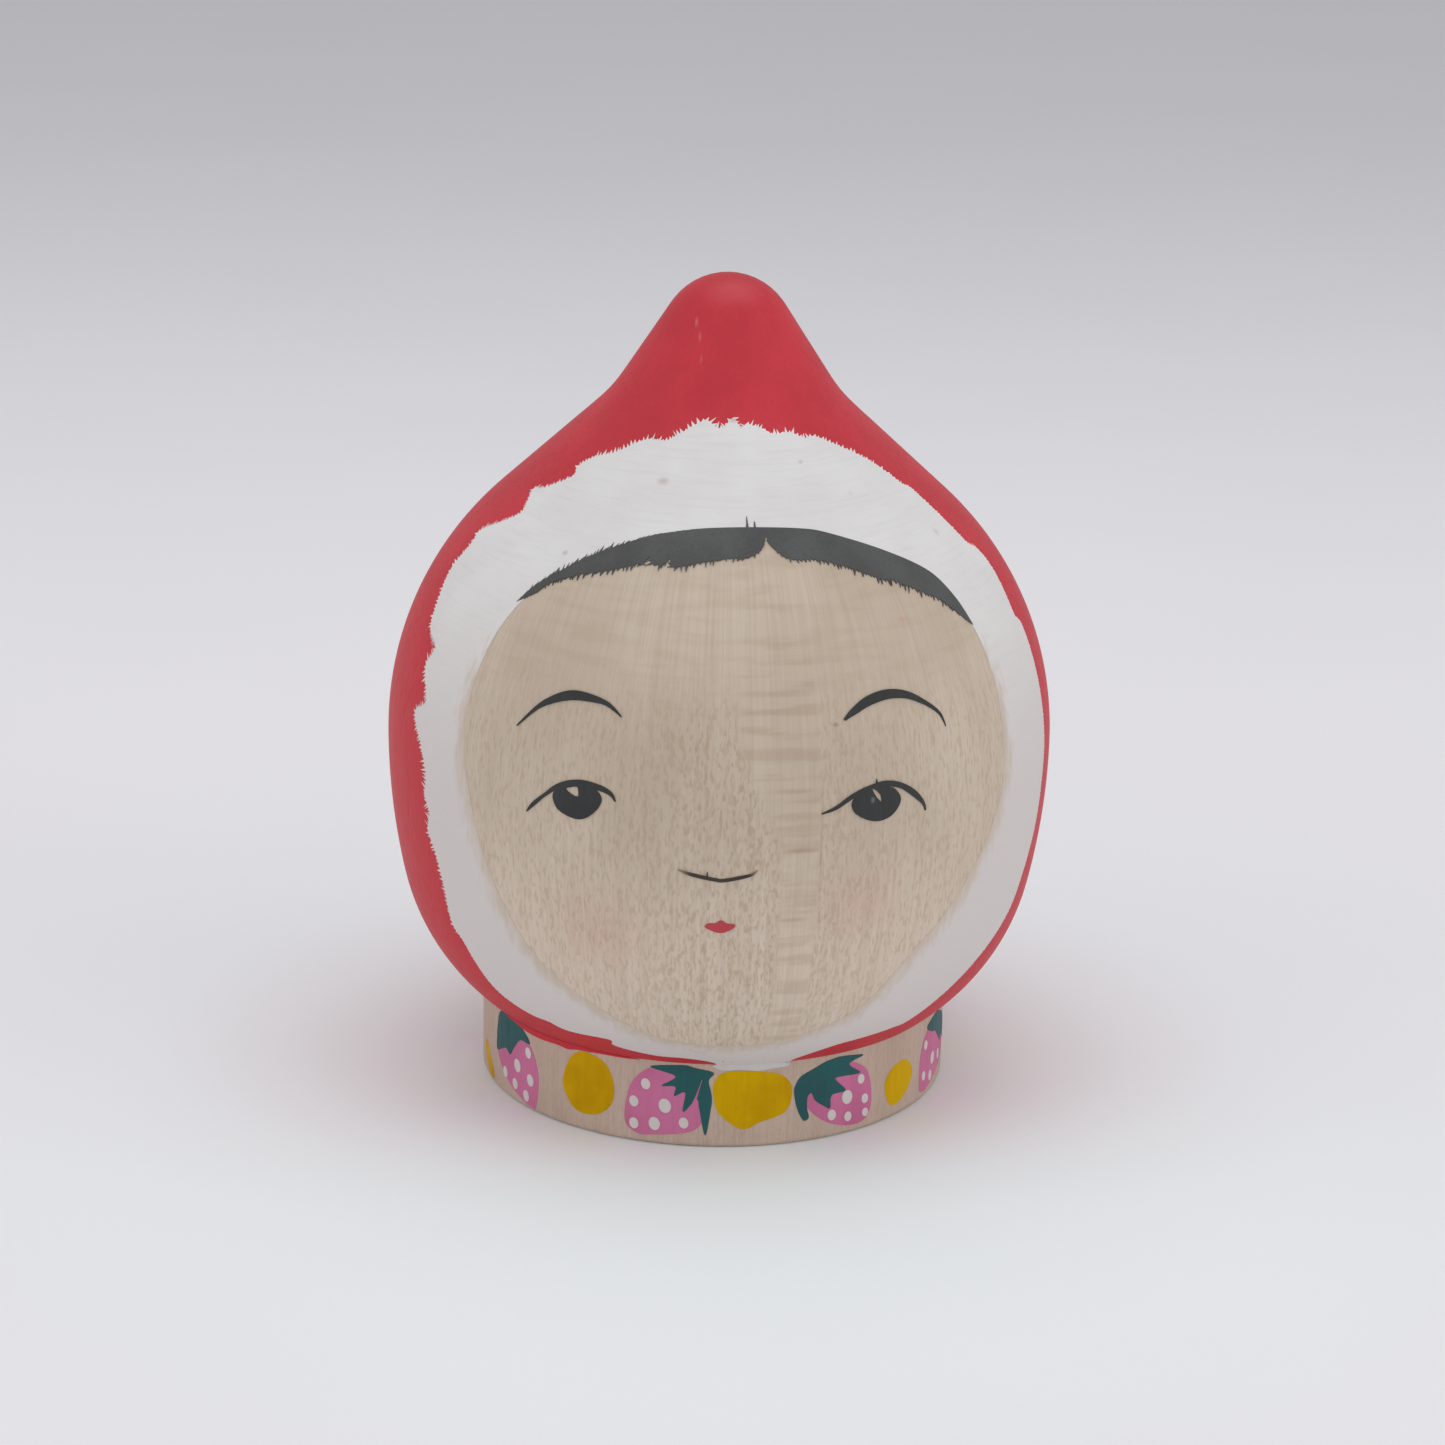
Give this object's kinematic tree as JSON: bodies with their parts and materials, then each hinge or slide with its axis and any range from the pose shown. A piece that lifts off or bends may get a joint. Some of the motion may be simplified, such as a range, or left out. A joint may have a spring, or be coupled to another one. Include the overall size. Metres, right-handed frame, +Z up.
{
  "type": "kokeshi doll",
  "caption": "Turned wooden kokeshi doll: a ball head with a painted peaked hood, white fur trim and a calm face, swivelling on a short collar painted with strawberries.",
  "frame": {"origin": "centre of the flat underside of the collar, on the surface the doll stands on", "axes": "+Z up along the turning axis to the tip of the hood, the face looks along -Y, +X is on the viewer's right"},
  "size_m": [0.06, 0.06, 0.0744],
  "materials": {
    "head_wood": "smooth bare maple with fine ray flecks",
    "collar_wood": "smooth bare maple with fine upright grain",
    "peg_wood": "smooth turned hardwood",
    "red_paint": "thin matte brushed paint",
    "white_paint": "thin matte brushed paint, grain showing through",
    "black_paint": "matte brushed ink",
    "lip_paint": "matte brushed paint",
    "pink_paint": "matte brushed paint",
    "green_paint": "matte brushed paint",
    "yellow_paint": "matte brushed paint"
  },
  "bodies": {
    "collar": {"collar": "collar_wood"},
    "head": {"head": "head_wood", "neck_peg": "peg_wood"}
  },
  "joints": [
    {"name": "head_turn", "type": "hinge", "parent": "collar", "child": "head", "pos_m": [0, 0, 0.008], "axis": [0, 0, 1], "continuous": true}
  ]
}
